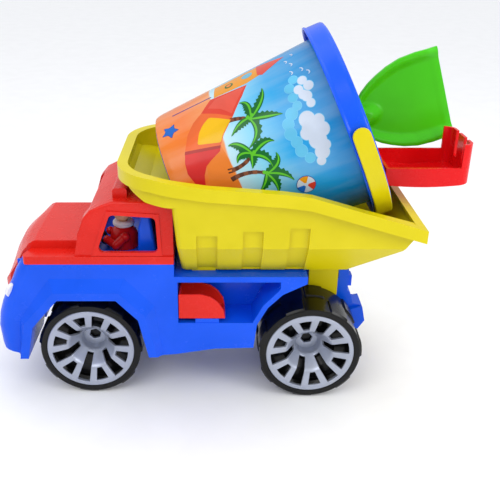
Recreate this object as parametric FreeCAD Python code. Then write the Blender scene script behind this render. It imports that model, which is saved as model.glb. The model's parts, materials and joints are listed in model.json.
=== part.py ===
import FreeCAD, Part
import math
import os

# Toy tipper truck with a sand bucket, a spade and a rake carried in its bed.
# Millimetres, +Z up. The truck faces -X and stands on Z = 0; Y = 0 is its centre plane.

# Puts the middle of the loaded truck's length at X = 0
ORIGIN_SHIFT_X = 6.7

# Wheels and axles
TYRE_R = 45.0
RIM_R = 38.0
WHEEL_W = 45.0
FRONT_AXLE_X = -128.0
REAR_AXLE_X = 62.7
FRONT_FACE_Y = 54.0
REAR_FACE_Y = 61.0
AXLE_R = 2.5
RUNNING_CLEARANCE = 0.05
TREAD_DEPTH = 1.5
LUG_COUNT = 7
LUG_ANGLE = 22.0
LUG_PHASE = -96.0
SPOKE_COUNT = 6
FRONT_SPOKE_PHASE = 15.0
REAR_SPOKE_PHASE = 10.0
DISH_DEPTH = 17.0
CUP_DEPTH = 26.0
CUP_R = 10.2
RIM_T = 2.5
HUB_R = 8.0
HUB_HEX_R = 5.2

# Blue chassis
BODY_HALF_W = 60.0
SKIN = 2.6
SEAM_Z = 131.0
CAB_REAR_X = -53.0
ARCH = [(-180.0, 42.0), (-173.2, 73.5), (-150.5, 99.5), (-101.8, 99.5), (-84.0, 80.7), (-75.8, 42.0)]
FLARE_LIP = 7.0
FLARE_PROUD = 3.0
ARCH_FOOT_Z = 42.5
NOSE_BACK_X = -178.0
NOSE_FLOOR_Z = 84.0
NOSE_GAP = 0.6
SCREW_R = 1.5
SCREW_HEAD_R = 3.2
LEDGE_Z = 119.5
LEDGE_T = 5.0
BOARD_Z = 75.7
BAY_Y = 28.0
SPINE_HALF_W = 9.4
FRONT_SPINE_HALF_W = 6.0
HITCH_HALF_W = 13.0

# Red cab
SHOULDER_Z = 138.0
HOOD_Z = 145.0
HOOD_HALF_W = 43.0
HOOD_BOW_R = 110.0
CAB_HALF_W = 58.5
ROOF_Z = 184.5
GRILLE_ROWS = (88.0, 95.0, 102.0)
SIDE_WINDOW = [(-115.0, 141.4), (-102.8, 174.1), (-66.7, 171.6), (-65.4, 141.4)]

# Yellow bed
PIVOT = (77.5, 80.0)
PIVOT_R = 3.0
BED_FLOOR_Z = 121.0
CREASE_Z = 150.0
BED_TOP_Z = 197.0
FLOOR_HALF_W = 49.0
CREASE_HALF_W = 71.0
WALL_TOP_HALF_W = 79.5
RIM_HALF_W = 84.0
RIM_H = 10.5
WALL_T = 2.3
RIM_FRONT_X = -97.0
RIM_REAR_X = 143.0
RIM_CORNER_R = 50.0
RIM_LINE = [(-100.0, 211.5), (-67.0, 211.0), (-25.0, 204.8), (31.8, 200.5), (53.5, 197.7), (146.0, 169.7)]
LEG_T = 4.2
LEG_GAP = 0.5
LUG_R = 13.0
PANELS = [(-34.0, -17.5, 162.0), (2.5, 18.5, 166.0), (39.0, 54.5, 169.0)]

# Bucket, in its own frame: axis from the base towards the mouth
BUCKET_TILT = 23.3
BUCKET_BASE = (-45.0, 0.0, 178.1)
BASE_R = 61.4
MOUTH_R = 71.3
BUCKET_H = 154.6
BUCKET_T = 2.0
COLLAR_R = 81.0
COLLAR_W = 16.5
LABEL_T = 0.5
BAIL_R = 81.9
BAIL_T = 2.2
BAIL_W = 13.5
BAIL_ALONG = 146.5
BAIL_ROLL = 6.0
BAIL_PIN_R = 3.0

# Driver
DRIVER_X = -97.0
DRIVER_Y = -22.0
HIP_Z = 131.6
CHEST_Z = 139.5
HEAD_Z = 162.5
TORSO_R = 12.0
HEAD_R = 8.0
CAP_R = 8.8

# Tools, in the bucket's frame (x is down, z is along the axis)
SPADE_DOWN = 14.5
SPADE_PITCH = 4.9
SPADE_Y = 34.0
SPADE_LENGTH = 80.6
SPADE_END = 40.0
GRIP_R = 7.0
RAKE_DOWN = 52.0
RAKE_GRIP_Y = -2.0
RAKE_END = 24.0
RAKE_X = (119.0, 188.5)
RAKE_Y = (-31.0, 27.0)
RAKE_Z = (187.0, 203.0)
TINE_TOP_Z = 222.5
RAKE_T = 2.4

VEC = FreeCAD.Vector
Y_AXIS = VEC(0, 1, 0)


def wire(points):
    """Closed polygon through 3-D points."""
    corners = [VEC(*p) for p in points]
    return Part.makePolygon(corners + [corners[0]])


def prism_xz(points, y0, y1):
    """Side outline (x, z), extruded from y0 to y1."""
    face = Part.Face(wire([(x, y0, z) for x, z in points]))
    return face.extrude(VEC(0, y1 - y0, 0))


def prism_yz(points, x0, x1):
    """Cross section (y, z), extruded from x0 to x1."""
    face = Part.Face(wire([(x0, y, z) for y, z in points]))
    return face.extrude(VEC(x1 - x0, 0, 0))


def box(x0, x1, y0, y1, z0, z1):
    return Part.makeBox(x1 - x0, y1 - y0, z1 - z0, VEC(x0, y0, z0))


def rod(radius, start, end):
    """Cylinder from one point to another."""
    a, b = VEC(*start), VEC(*end)
    return Part.makeCylinder(radius, (b - a).Length, a, b - a)


def union(shapes):
    return shapes[0].multiFuse(shapes[1:]).removeSplitter()


def both_sides(shape):
    """A shape and its mirror image in the centre plane."""
    return [shape, shape.mirror(VEC(0, 0, 0), Y_AXIS)]


def symmetric(points):
    """Half outline (y, z) with y > 0, closed across the centre plane."""
    return points + [(-y, z) for y, z in reversed(points)]


def inset(points, distance):
    """Offset a closed outline inwards (distance > 0) or outwards in its own plane."""
    flat = wire([(x, z, 0) for x, z in points])
    moved = Part.Face(flat).makeOffset2D(-distance, 2)
    return [(v.X, v.Y) for v in moved.OuterWire.OrderedVertexes]


def round_edges(shape, radius, chosen):
    """Fillet the edges that the test picks."""
    return shape.makeFillet(radius, [e for e in shape.Edges if chosen(e)])


def revolved(profile):
    """Closed (radius, height) outline turned about Z."""
    face = Part.Face(wire([(r, 0, h) for r, h in profile]))
    return face.revolve(VEC(0, 0, 0), VEC(0, 0, 1), 360)


# ---------------------------------------------------------------- wheels

def wheel_place(shape, x, face_y):
    """Wheel parts are built facing +Z at height 0, and turned to face outwards."""
    turned = shape.copy()
    turned.rotate(VEC(0, 0, 0), VEC(1, 0, 0), 90)
    if face_y > 0:
        turned.rotate(VEC(0, 0, 0), VEC(0, 0, 1), 180)
    turned.translate(VEC(x, face_y, TYRE_R))
    return turned


def rim_cutters(phase):
    """Six long slots with a short window between each two."""
    slot = [(12.6, -2.3), (34, -4.8), (34, 4.8), (12.6, 2.3)]
    window = [(21.5, -1.2), (32.5, -4.9), (32.5, 4.9), (21.5, 1.2)]
    cutters = []
    for i in range(SPOKE_COUNT):
        for turn, outline in ((0, slot), (180 / SPOKE_COUNT, window)):
            cutter = Part.Face(wire([(x, y, -WHEEL_W) for x, y in outline])).extrude(VEC(0, 0, WHEEL_W + 1))
            cutter.rotate(VEC(0, 0, 0), VEC(0, 0, 1), phase + turn + i * 360 / SPOKE_COUNT)
            cutters.append(cutter)
    return union(cutters)


def hub_socket():
    """Six-sided hollow at the bottom of the hub's cup."""
    corners = [(HUB_HEX_R * math.cos(math.radians(a)), HUB_HEX_R * math.sin(math.radians(a)), -CUP_DEPTH - 2)
               for a in range(0, 360, 60)]
    return Part.Face(wire(corners)).extrude(VEC(0, 0, 3))


def rim(phase):
    inside = RIM_R - RIM_T
    barrel = revolved([(RIM_R, 0), (RIM_R, -WHEEL_W), (inside, -WHEEL_W), (inside, -RIM_T), (33, -RIM_T),
                       (33, 0)])
    dish = revolved([(33.5, 0), (20, -3.5), (CUP_R + 1, -DISH_DEPTH), (CUP_R, -DISH_DEPTH),
                     (CUP_R, -CUP_DEPTH), (0, -CUP_DEPTH), (0, -CUP_DEPTH - 3),
                     (CUP_R + RIM_T, -CUP_DEPTH - 3), (CUP_R + RIM_T, -DISH_DEPTH - 2),
                     (20.6, -6.4), (33.5, -RIM_T)])
    hub = Part.makeCylinder(HUB_R, WHEEL_W - CUP_DEPTH, VEC(0, 0, -WHEEL_W))
    slotted = union([barrel, dish, hub]).cut(rim_cutters(phase))
    bore = Part.makeCylinder(AXLE_R + RUNNING_CLEARANCE, WHEEL_W, VEC(0, 0, -WHEEL_W - 1))
    return slotted.fuse(hub).cut(bore).cut(hub_socket()).removeSplitter()


def tyre():
    base_r = TYRE_R - TREAD_DEPTH
    bore_r = RIM_R + RUNNING_CLEARANCE
    ring = revolved([(bore_r, 0), (base_r - 1.5, 0), (base_r, -1.5), (base_r, 1.5 - WHEEL_W),
                     (base_r - 1.5, -WHEEL_W), (bore_r, -WHEEL_W)])
    lugs = []
    half_width = 0.5 * WHEEL_W - 2.0
    for row in range(2):
        low = -half_width - 0.5 if row == 0 else 0.5 - WHEEL_W
        high = low + half_width
        outline = [(base_r - 2, low), (TYRE_R, low), (TYRE_R, high), (base_r - 2, high)]
        for i in range(LUG_COUNT):
            face = Part.Face(wire([(r, 0, h) for r, h in outline]))
            lug = face.revolve(VEC(0, 0, 0), VEC(0, 0, 1), LUG_ANGLE)
            start = LUG_PHASE - LUG_ANGLE / 2 + (i + 0.5 * row) * 360 / LUG_COUNT
            lug.rotate(VEC(0, 0, 0), VEC(0, 0, 1), start)
            lugs.append(lug)
    return union([ring] + lugs)


def wheels():
    parts = {}
    for name, x, face_y, phase in (("front", FRONT_AXLE_X, FRONT_FACE_Y, FRONT_SPOKE_PHASE),
                                   ("rear", REAR_AXLE_X, REAR_FACE_Y, REAR_SPOKE_PHASE)):
        for side, sign in (("left", -1), ("right", 1)):
            parts[f"{name}_rim_{side}"] = wheel_place(rim(phase), x, sign * face_y)
            parts[f"{name}_tyre_{side}"] = wheel_place(tyre(), x, sign * face_y)
        reach = face_y - CUP_DEPTH - 1.0
        parts[f"{name}_axle"] = rod(AXLE_R, (x, -reach, TYRE_R), (x, reach, TYRE_R))
    return parts


# ---------------------------------------------------------------- chassis

def front_outline():
    return [(CAB_REAR_X, SEAM_Z), (-180, SEAM_Z), (-185, 123), (-190, 112), (-195, 103), (-199.5, 93),
            (-203.2, 82), (-205.2, 70), (-204.4, 56), (-200.5, 49), (-188.5, 46), (-187, 42.5), (-180, 42.5),
            (-100, 42.5), (-76, 42.5), (CAB_REAR_X, 44.5)]


def mid_outline():
    return [(CAB_REAR_X - 8, 44.5), (CAB_REAR_X, 44.5), (-20, 50), (13.7, 51), (16.2, 73.8), (25, 90.4),
            (37.1, 102.8), (57, 113), (57, LEDGE_Z), (CAB_REAR_X - 8, LEDGE_Z)]


def spine_outline():
    return [(CAB_REAR_X, 70), (40, 70), (50, 36), (75, 36), (104, 40), (112.8, 41.4), (118.4, 50),
            (115.3, 64.3), (107, 66), (103.5, 78), (101, 80), (101, 100.5), (92, 100.5), (92, 92), (57, 92),
            (57, LEDGE_Z - 1), (CAB_REAR_X, LEDGE_Z - 1)]


def arch_flare(sign):
    """Raised lip around one front wheel arch."""
    side = sign * BODY_HALF_W
    lip = [(ARCH[0][0] - FLARE_LIP, ARCH_FOOT_Z), (-180, 77), (-153.5, 106.5), (-99, 106.5), (-77.5, 84),
           (-68.8, 44)]
    spread = [(-188, ARCH_FOOT_Z), (-184, 80), (-156, 118), (-94, 118), (-70, 92), (-64, 44)]
    outer = wire([(x, side, z) for x, z in spread])
    proud = wire([(x, side + sign * FLARE_PROUD, z) for x, z in lip])
    return Part.makeLoft([outer, proud], True, True)


def nose_edges(half_width, low, high):
    """Picks the front edges of the two side faces, between two heights."""
    return lambda e: (e.BoundBox.YLength < 0.01 and abs(abs(e.CenterOfMass.y) - half_width) < 0.1
                      and e.CenterOfMass.x < -180 and low < e.CenterOfMass.z < high)


def chassis_blank():
    """Outside of the chassis, before anything is taken out of it."""
    front = prism_xz(front_outline(), -BODY_HALF_W, BODY_HALF_W)
    front = round_edges(front, 12.0, nose_edges(BODY_HALF_W, 60, 130))
    middle = prism_xz(mid_outline(), -BODY_HALF_W, BODY_HALF_W)
    return union([front.fuse(middle), arch_flare(-1), arch_flare(1)])


def wheel_tunnel():
    return ARCH + [(ARCH[-1][0], 20), (ARCH[0][0], 20)]


def arch_liners():
    """Walls left standing around the front wheels."""
    liner = inset(wheel_tunnel(), -SKIN)
    liners = union([prism_xz(liner, sign * FRONT_SPINE_HALF_W, sign * (BODY_HALF_W - 1))
                    for sign in (-1, 1)])
    return liners.common(box(-186.5, CAB_REAR_X - 1, -BODY_HALF_W, BODY_HALF_W, ARCH_FOOT_Z, SEAM_Z))


def bay_walls():
    """Walls left standing around the two side bays."""
    outline = [(CAB_REAR_X - 3, BOARD_Z - SKIN), (13.8, BOARD_Z - SKIN), (22.9, 92), (35.2, 105), (48, 113),
               (48, LEDGE_Z - 1), (CAB_REAR_X - 3, LEDGE_Z - 1)]
    return union([prism_xz(outline, sign * (BAY_Y - SKIN), sign * (BODY_HALF_W - 1)) for sign in (-1, 1)])


def hollow_front():
    """Space under the cab's deck, open below."""
    inner = BODY_HALF_W - SKIN
    hollow = prism_xz(inset(front_outline(), SKIN), -inner, inner)
    hollow = round_edges(hollow, 10.0, nose_edges(inner, 57, 127))
    below = box(-184, CAB_REAR_X - SKIN, -inner, inner, 30, 60)
    return union([hollow, below]).cut(arch_liners())


def hollow_middle():
    """Space between the bays, open below."""
    outline = [(CAB_REAR_X - 6, 40), (11.5, 40), (13.8, 74.5), (22.9, 92), (35.2, 105), (48, 113),
               (CAB_REAR_X - 6, 113)]
    return prism_xz(outline, SKIN - BODY_HALF_W, BODY_HALF_W - SKIN).cut(bay_walls())


def chassis_openings():
    """Wheel tunnels, side bays and the recess that the hood's nose drops into."""
    reach = BODY_HALF_W + FLARE_PROUD + 1
    bay_top = LEDGE_Z - LEDGE_T
    bay = [(CAB_REAR_X + SKIN, BOARD_Z), (12.5, BOARD_Z), (21, 92.5), (33, 105.5), (35, 108), (35, bay_top),
           (CAB_REAR_X + SKIN, bay_top)]
    nose = HOOD_HALF_W + NOSE_GAP
    cutters = [prism_xz(wheel_tunnel(), sign * FRONT_SPINE_HALF_W, sign * reach) for sign in (-1, 1)]
    cutters += [prism_xz(bay, sign * BAY_Y, sign * (BODY_HALF_W + 1)) for sign in (-1, 1)]
    cutters.append(box(-210, NOSE_BACK_X, -nose, nose, NOSE_FLOOR_Z, SEAM_Z + 1))
    return union(cutters)


def nose_pocket():
    """Floor, back and sides of the recess at the nose."""
    half, wall_x = HOOD_HALF_W + 3, NOSE_BACK_X + SKIN
    below = NOSE_FLOOR_Z - SKIN
    return [box(-192, NOSE_BACK_X + 2, -half, half, below, NOSE_FLOOR_Z),
            box(NOSE_BACK_X, wall_x, -half, half, below, SEAM_Z)] \
        + both_sides(box(-184, wall_x, HOOD_HALF_W + NOSE_GAP, half, below, SEAM_Z - 2))


def spines():
    """Beams that carry the axles, the bed's pivot and the rear hitch."""
    half = FRONT_SPINE_HALF_W
    front = box(FRONT_AXLE_X - 14, FRONT_AXLE_X + 14, -half, half, 36, SEAM_Z - 1)
    rear = prism_xz(spine_outline(), -SPINE_HALF_W, SPINE_HALF_W)
    hitch = prism_xz([(104, 40), (112.8, 41.4), (118.4, 50), (115.3, 64.3), (104, 62)],
                     -HITCH_HALF_W, HITCH_HALF_W)
    tip_stop = box(97, 105, -4.5, 4.5, 82, 92.5)
    tray_tabs = both_sides(box(-36, -16, 47, BODY_HALF_W - 0.5, BOARD_Z - 1, 79.6))
    return [front, rear, hitch, tip_stop] + tray_tabs


def chassis_holes():
    """Bores for both axles, the bed's pivot pin and the cab screws."""
    axle, pivot = AXLE_R + RUNNING_CLEARANCE, PIVOT_R + RUNNING_CLEARANCE
    holes = [rod(axle, (x, -40, TYRE_R), (x, 40, TYRE_R)) for x in (FRONT_AXLE_X, REAR_AXLE_X)]
    holes.append(rod(pivot, (PIVOT[0], -40, PIVOT[1]), (PIVOT[0], 40, PIVOT[1])))
    holes += [rod(SCREW_R + 0.1, (x, y, z - 4), (x, y, z + 1)) for x, y, z in screw_places()]
    return union(holes)


def chassis():
    body = chassis_blank().cut(hollow_front()).cut(hollow_middle()).cut(chassis_openings())
    return union([body] + nose_pocket() + spines()).cut(chassis_holes())


def screw_places():
    """Where each cab screw passes up through the chassis: its deck's top face."""
    return [(x, y, z) for x, z, half in ((-62.0, SEAM_Z, 48.0), (-183.0, NOSE_FLOOR_Z, 30.0))
            for y in (-half, half)]


def cab_screws():
    screws = []
    for x, y, z in screw_places():
        head_z = z - SKIN - 2.0
        head = rod(SCREW_HEAD_R, (x, y, head_z), (x, y, head_z + 1.9))
        screws.append(head.fuse(rod(SCREW_R, (x, y, head_z + 1), (x, y, z + 9))).removeSplitter())
    return Part.makeCompound(screws)


# ---------------------------------------------------------------- cab

def cab_outline():
    return [(CAB_REAR_X, SEAM_Z), (CAB_REAR_X, 182.5), (-56, ROOF_Z), (-101, ROOF_Z), (-108, 182),
            (-115, 177), (-120.5, 170), (-126.5, 157), (-131, 147), (-134, SHOULDER_Z - 1), (-134, SEAM_Z)]


def hood_outline():
    return [(-120, SEAM_Z), (-120, HOOD_Z), (-169, HOOD_Z), (-177.5, 142), (-186.5, 135.5), (-192, 126),
            (-196, 113), (-201, 98), (-204, 84), (-178.2, 84), (-178.2, SEAM_Z)]


def rounded_hood():
    """Hood with its front bowed in plan."""
    hood = prism_xz(hood_outline(), -HOOD_HALF_W, HOOD_HALF_W)
    bow_x = HOOD_BOW_R - 204.2
    bow = rod(HOOD_BOW_R, (bow_x, 0, 60), (bow_x, 0, 160))
    return hood.common(bow.fuse(box(-150, -90, -50, 50, 60, 160)))


def cab_blank():
    """Outside of the cab: house, shoulders, hood and the roof's wind deflector."""
    house = prism_xz(cab_outline(), -CAB_HALF_W, CAB_HALF_W)
    house = round_edges(house, 2.2, lambda e: abs(abs(e.CenterOfMass.y) - CAB_HALF_W) < 0.1
                        and e.BoundBox.YLength < 0.01 and e.CenterOfMass.z > 150 and e.CenterOfMass.x < -54)
    strip = box(-175, CAB_REAR_X, -BODY_HALF_W, BODY_HALF_W, SEAM_Z, SHOULDER_Z)
    strip = round_edges(strip, 5.0, lambda e: e.BoundBox.ZLength > 3 and e.CenterOfMass.x < -170)
    spoiler = box(-101, -89.5, -48, 48, ROOF_Z - 1, 192.5)
    spoiler = round_edges(spoiler, 2.5, lambda e: e.BoundBox.YLength > 90 and e.CenterOfMass.z > 190)
    return union([house, strip, rounded_hood(), spoiler])


def side_window():
    return round_edges(prism_xz(SIDE_WINDOW, -70, 70), 4.0, lambda e: e.BoundBox.YLength > 100)


def cab_hollow():
    """Room inside the cab and hood, with the side windows and the windscreen."""
    house, shoulder, hood = CAB_HALF_W - SKIN, BODY_HALF_W - SKIN, HOOD_HALF_W - SKIN
    below = SEAM_Z - 1
    return union([prism_xz(inset(cab_outline(), SKIN), -house, house),
                  box(-131.4, CAB_REAR_X - SKIN, -house, house, below, SEAM_Z + 10),
                  box(-172, -125, -shoulder, shoulder, below, SHOULDER_Z - SKIN),
                  box(-172, -125, -hood, hood, below, HOOD_Z - SKIN),
                  side_window(), box(-140, -106, -46, 46, 151, 176)])


def window_frames():
    """Raised frame around each side window."""
    outline = inset(SIDE_WINDOW, -3.2)
    return [prism_xz(outline, sign * (CAB_HALF_W - 1.2), sign * (CAB_HALF_W + 0.9)).cut(side_window())
            for sign in (-1, 1)]


def screw_bosses():
    """Posts in the cab's rear corners, each webbed to the back wall."""
    bosses = []
    for x, y, z in screw_places()[:2]:
        bosses.append(rod(4.0, (x, y, z), (x, y, z + 12)))
        bosses.append(box(x - 1, CAB_REAR_X - 1, y - 1, y + 1, z, z + 12))
    return bosses


def cab():
    body = cab_blank().cut(cab_hollow())
    grille = union([box(-215, -195.5, -34, 34, z, z + 3.4) for z in GRILLE_ROWS])
    body = union([body] + window_frames() + screw_bosses()).cut(grille)
    bores = [rod(SCREW_R + RUNNING_CLEARANCE, (x, y, z - 1), (x, y, z + 10)) for x, y, z in screw_places()]
    return body.cut(union(bores))


def seat():
    back = prism_xz([(-83.5, 131.3), (-82.5, 156), (-79.5, 168), (-72, 168), (-67, 131.3)], -46, 40)
    return round_edges(back, 3.0, lambda e: e.CenterOfMass.z > 140
                       and (e.BoundBox.YLength > 80 or e.BoundBox.YLength < 0.01))


def arm(side):
    """One bent arm, from the shoulder to a hand on the steering wheel."""
    shoulder = VEC(DRIVER_X + 2, DRIVER_Y + side * 11.0, 143.5)
    elbow = VEC(DRIVER_X - 6, DRIVER_Y + side * 14.0, 137.0)
    hand = VEC(DRIVER_X - 13.2, DRIVER_Y + side * 9.5, 140.5)
    return [rod(3.8, shoulder, elbow), Part.makeSphere(3.8, elbow), rod(3.4, elbow, hand),
            Part.makeSphere(3.6, hand), Part.makeSphere(4.4, shoulder)]


def driver_cap():
    middle = VEC(DRIVER_X - 0.5, DRIVER_Y, HEAD_Z)
    inside = Part.makeSphere(HEAD_R + 0.1, middle)
    dome = Part.makeSphere(CAP_R, middle).cut(box(DRIVER_X - 20, DRIVER_X + 20, DRIVER_Y - 20, DRIVER_Y + 20,
                                                  140, HEAD_Z + 2))
    brim = Part.makeCylinder(9.6, 1.4, VEC(DRIVER_X - 3.0, DRIVER_Y, HEAD_Z + 1.4))
    return dome.cut(inside).fuse(brim.cut(inside)).removeSplitter()


def driver():
    """Half figure of plain balls and rods, sitting on the deck."""
    torso = rod(TORSO_R, (DRIVER_X, DRIVER_Y, HIP_Z), (DRIVER_X, DRIVER_Y, CHEST_Z))
    torso = torso.fuse(Part.makeSphere(TORSO_R, VEC(DRIVER_X, DRIVER_Y, CHEST_Z)))
    torso = torso.cut(box(DRIVER_X - 20, DRIVER_X + 20, DRIVER_Y - 20, DRIVER_Y + 20, HIP_Z - 20, HIP_Z))
    body = union([torso] + arm(-1) + arm(1))
    neck = rod(3.4, (DRIVER_X, DRIVER_Y, 149), (DRIVER_X - 0.4, DRIVER_Y, 157))
    head = Part.makeSphere(HEAD_R, VEC(DRIVER_X - 0.5, DRIVER_Y, HEAD_Z)).fuse(neck)
    collar = Part.makeTorus(6.4, 2.8, VEC(DRIVER_X, DRIVER_Y, 152.5)).cut(body).cut(head)
    return {"driver_body": body, "driver_neckerchief": collar,
            "driver_head": head.cut(body).removeSplitter(), "driver_cap": driver_cap()}


def steering():
    dash = prism_xz([(-127.8, 131.3), (-127.8, 140), (-124, 143.5), (-121, 141), (-119.5, 131.3)], -50, 50)
    dash = round_edges(dash, 1.0, lambda e: e.BoundBox.YLength > 90 and e.CenterOfMass.z > 138
                       and e.CenterOfMass.x > -126)
    centre = VEC(-116.2, DRIVER_Y, 140.5)
    lean = VEC(0.82, 0, 0.57)
    ring = Part.makeTorus(8.2, 1.3, centre, lean)
    column = Part.makeCylinder(1.8, 8.0, centre - lean * 7.2, lean)
    spoke = box(-0.8, 0.8, -8.2, 8.2, -1.0, 1.0)
    spoke.rotate(VEC(0, 0, 0), Y_AXIS, math.degrees(math.atan2(lean.x, lean.z)))
    spoke.translate(centre)
    wheel = union([ring, column, spoke])
    return {"dashboard": dash.cut(column), "steering_wheel": wheel}


def side_tray(sign):
    """Open pocket with a quarter-round end, standing on the running board."""
    outline = [(-50.0, 79.7), (-50.0, 102.8), (-31.0, 102.8), (-23.5, 100.6), (-17.0, 95.6), (-12.4, 88.6),
               (-10.6, 79.7)]
    tray = prism_xz(outline, sign * 36.5, sign * 59.6)
    pocket = prism_xz([(-48, 82), (-48, 110), (0, 110), (0, 90), (-13.5, 82)], sign * 38.3, sign * 57.8)
    return tray.cut(pocket)


# ---------------------------------------------------------------- bed

def section(shrink=0.0, floor=BED_FLOOR_Z):
    half = [(0.0, floor), (FLOOR_HALF_W - shrink, floor), (CREASE_HALF_W - shrink, CREASE_Z),
            (WALL_TOP_HALF_W - min(shrink, WALL_T), BED_TOP_Z), (WALL_TOP_HALF_W - min(shrink, WALL_T), 240)]
    return symmetric(half[1:])


def tub_outline(shrink=0.0):
    """Side outline of the bed, front wall to tail; a larger shrink gives the inside."""
    return [(-47.5 + shrink, BED_FLOOR_Z + 0.8 * shrink), (90.0, BED_FLOOR_Z + 0.8 * shrink),
            (129.5 - 0.9 * shrink, 147.5 + shrink / 3), (140.5 - shrink, 166.0), (140.5 - shrink, 240.0),
            (-52.5 + shrink, 240.0), (-52.5 + shrink, 187.0)]


def scoop_outline(shrink=0.0):
    return [(-20.0, 240.0), (-20.0, 190.0 + shrink), (-52.5, 187.0 + shrink), (-73.0, 189.5 + shrink),
            (-86.0, 196.0 + shrink), (-92.5 + shrink, 202.5 + shrink), (-92.5 + shrink, 240.0)]


def plan(step, low, high):
    """Plan outline of the rim, moved inwards by step, with rounded front corners."""
    front, side, radius = RIM_FRONT_X + step, RIM_HALF_W - step, RIM_CORNER_R - step
    rear = RIM_REAR_X - step
    centre_x, centre_y = front + radius, side - radius
    diagonal = radius * math.sqrt(0.5)
    corner = [Part.Arc(VEC(front, s * centre_y, low),
                       VEC(centre_x - diagonal, s * (centre_y + diagonal), low),
                       VEC(centre_x, s * side, low)).toShape() for s in (-1, 1)]
    edges = [Part.makeLine(VEC(front, -centre_y, low), VEC(front, centre_y, low)), corner[1],
             Part.makeLine(VEC(centre_x, side, low), VEC(rear, side, low)),
             Part.makeLine(VEC(rear, side, low), VEC(rear, -side, low)),
             Part.makeLine(VEC(rear, -side, low), VEC(centre_x, -side, low)), corner[0]]
    outline = Part.Wire(Part.__sortEdges__(edges))
    return Part.Face(outline).extrude(VEC(0, 0, high - low))


def under_rim(top=0.0):
    """Everything below the rim's line."""
    line = [(x, z - top) for x, z in RIM_LINE]
    outline = [(-110, line[0][1])] + line[1:-1] + [(160, line[-1][1] - 4.2), (160, 60), (-110, 60)]
    return prism_xz(outline, -100, 100)


def bed_outside():
    """Outer form of the tub and of the scoop over the cab."""
    tub = prism_xz(tub_outline(), -100, 100).common(prism_yz(section(), -60, 150))
    tub = round_edges(tub, 5.0, lambda e: e.CenterOfMass.x < -45 and e.BoundBox.ZLength > 15
                      and abs(e.CenterOfMass.y) > 40)
    scoop = prism_xz(scoop_outline(), -100, 100).common(plan(5.0, 150, 240))
    return tub.fuse(scoop.common(prism_yz(section(), -120, 0)))


def bed_inside():
    """Room inside the bed."""
    tub = prism_xz(tub_outline(2.5), -100, 100).common(prism_yz(section(5.5), -60, 190))
    scoop = prism_xz(scoop_outline(2.5), -100, 100).common(plan(8.0, 150, 240))
    return tub.fuse(scoop.common(prism_yz(section(5.5), -120, 0)))


def bed_rim():
    """Hanging band round the top edge, and the ledge that joins it to the walls."""
    band = plan(0.0, 150, 230).cut(plan(5.2, 149, 231)).common(under_rim()).cut(under_rim(RIM_H))
    ledge = plan(2.0, 150, 230).cut(plan(8.2, 149, 231)).common(under_rim()).cut(under_rim(2.5))
    return [band, ledge]


def bed_leg(side):
    """Pivot lug beside the spine, and the foot that rests near the chassis ledge."""
    inner = side * (SPINE_HALF_W + LEG_GAP)
    outer = inner + side * LEG_T
    x, z = PIVOT
    top = BED_FLOOR_Z + 1
    plate = prism_xz([(x - LUG_R, top), (x - LUG_R, z), (x + LUG_R, z), (x + LUG_R, top)], inner, outer)
    foot_y = sorted((side * 44, side * 48))
    return [plate.fuse(rod(LUG_R, (x, inner, z), (x, outer, z))),
            box(-38.5, -19, foot_y[0], foot_y[1], LEDGE_Z + 0.3, 124)]


def bed_recesses():
    """Three sunken panels on each side wall."""
    core = prism_yz(section(3.0, BED_FLOOR_Z - 1), -60, 150).fuse(box(-200, 200, -48, 48, 100, 130))
    return union([box(x0, x1, -100, 100, BED_FLOOR_Z - 2, top).cut(core) for x0, x1, top in PANELS])


def bed():
    shell = bed_outside().cut(bed_inside()).common(under_rim(0.5))
    body = union([shell] + bed_rim() + bed_leg(-1) + bed_leg(1)).cut(bed_recesses())
    return body.cut(rod(PIVOT_R + RUNNING_CLEARANCE, (PIVOT[0], -30, PIVOT[1]), (PIVOT[0], 30, PIVOT[1])))


def bed_pivot_pin():
    reach = SPINE_HALF_W + LEG_GAP + LEG_T
    return rod(PIVOT_R, (PIVOT[0], -reach, PIVOT[1]), (PIVOT[0], reach, PIVOT[1]))


# ---------------------------------------------------------------- bucket and tools

def in_bucket(shape):
    """From the bucket's own frame into its place in the bed."""
    placed = shape.copy()
    placed.rotate(VEC(0, 0, 0), Y_AXIS, 90 - BUCKET_TILT)
    placed.translate(VEC(*BUCKET_BASE))
    return placed


def wall_r(height):
    return BASE_R + (MOUTH_R - BASE_R) * height / BUCKET_H


def bucket():
    t = BUCKET_T
    collar_low = BUCKET_H - COLLAR_W
    profile = [(0, 0), (BASE_R - 5, 0), (BASE_R - 1.5, 1.5), (wall_r(5), 5),
               (wall_r(BUCKET_H - t), BUCKET_H - t), (COLLAR_R - t, BUCKET_H - t),
               (COLLAR_R - t, collar_low), (COLLAR_R, collar_low),
               (COLLAR_R, BUCKET_H - 1), (COLLAR_R - 1, BUCKET_H), (wall_r(BUCKET_H) - t, BUCKET_H),
               (wall_r(6) - t, 6), (BASE_R - 7, t), (0, t)]
    body = revolved(profile)
    pins = bail_pins(BAIL_PIN_R + RUNNING_CLEARANCE)
    return in_bucket(body.cut(pins))


def bucket_label():
    """Printed film sleeve around the wall."""
    gap = 0.02
    low, high = 7.0, BUCKET_H - 3.0
    return in_bucket(revolved([(wall_r(low) + gap, low), (wall_r(low) + LABEL_T, low),
                               (wall_r(high) + LABEL_T, high), (wall_r(high) + gap, high)]))


def bail_pins(radius):
    pin = rod(radius, (0, COLLAR_R - 5, BAIL_ALONG), (0, BAIL_R + 1, BAIL_ALONG))
    pins = union(both_sides(pin))
    pins.rotate(VEC(0, 0, 0), VEC(0, 0, 1), -BAIL_ROLL)
    return pins


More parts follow.
